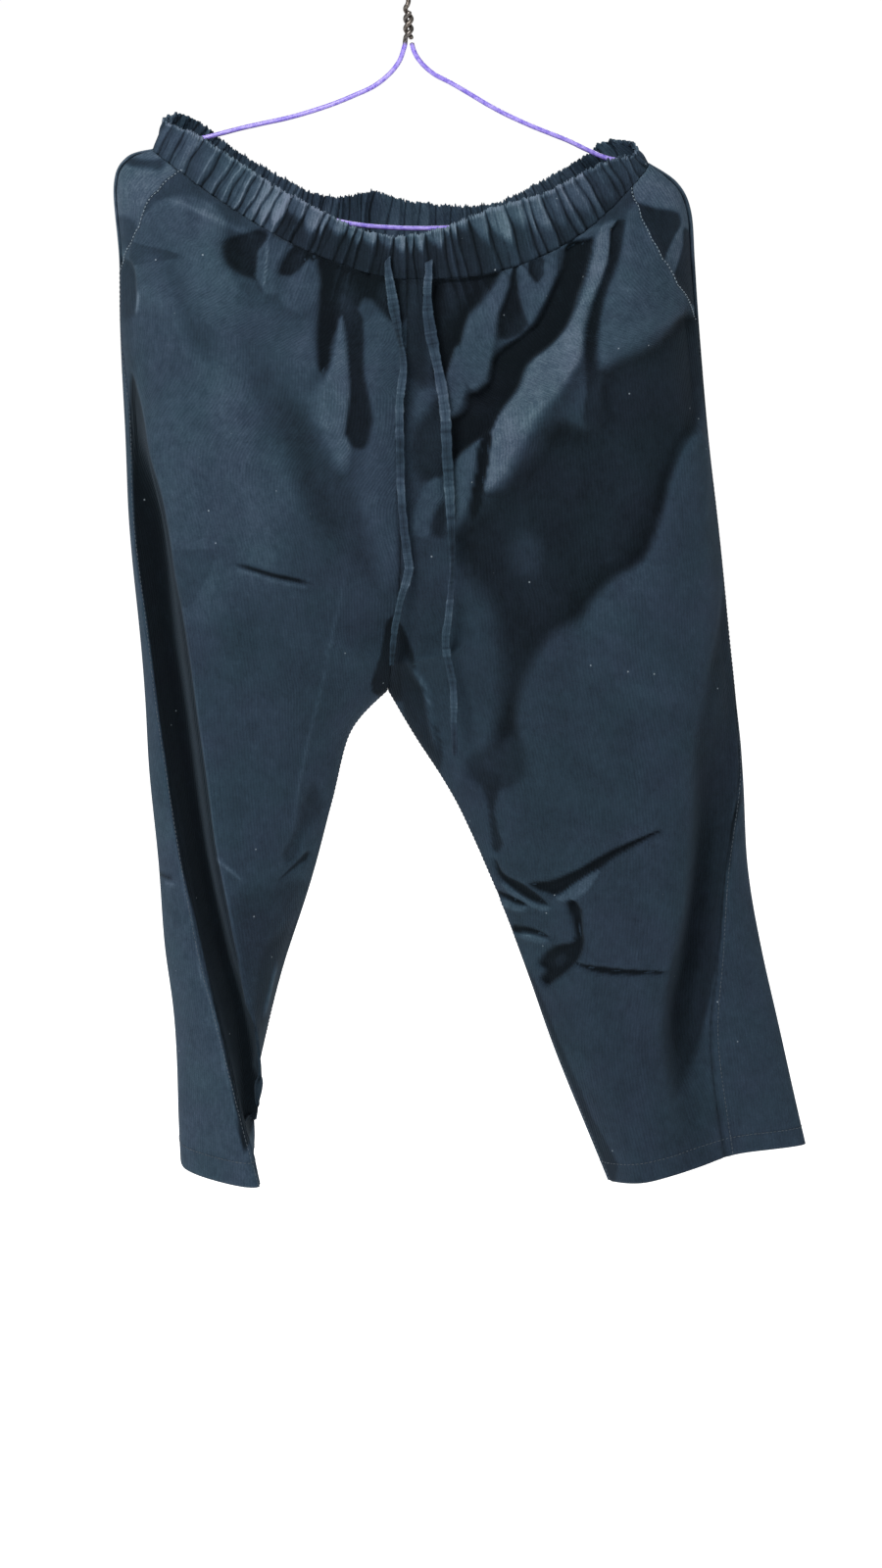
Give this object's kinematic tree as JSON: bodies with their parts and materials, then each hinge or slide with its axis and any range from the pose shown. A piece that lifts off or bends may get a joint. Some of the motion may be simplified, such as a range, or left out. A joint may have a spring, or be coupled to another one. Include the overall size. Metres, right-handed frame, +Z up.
{
  "type": "corduroy joggers on a wire hanger",
  "caption": "Pull-on corduroy joggers with a gathered elastic waistband, slant pockets and two flat ties, hanging open on a coated wire hanger",
  "frame": {"origin": "the inside top of the hanger's hook, where it rests on a rail", "axes": "X to the viewer's right across the garment's front, Y from the front to the back, Z up"},
  "size_m": [0.599, 0.1545, 1.0819],
  "materials": {
    "corduroy": "fine-wale cotton corduroy, dark navy with a soft nap",
    "tie": "folded strip of the same corduroy",
    "coated_wire": "purple plastic coating over steel wire",
    "bare_wire": "dull bare wire"
  },
  "bodies": {
    "root": {"front_right": "corduroy", "front_left": "corduroy", "back_right": "corduroy", "back_left": "corduroy", "pocket_facing_right": "corduroy", "pocket_facing_left": "corduroy", "waistband": "corduroy", "tie_right": "tie", "tie_left": "tie", "hanger_frame": "coated_wire", "hanger_hook": "bare_wire"}
  },
  "joints": []
}
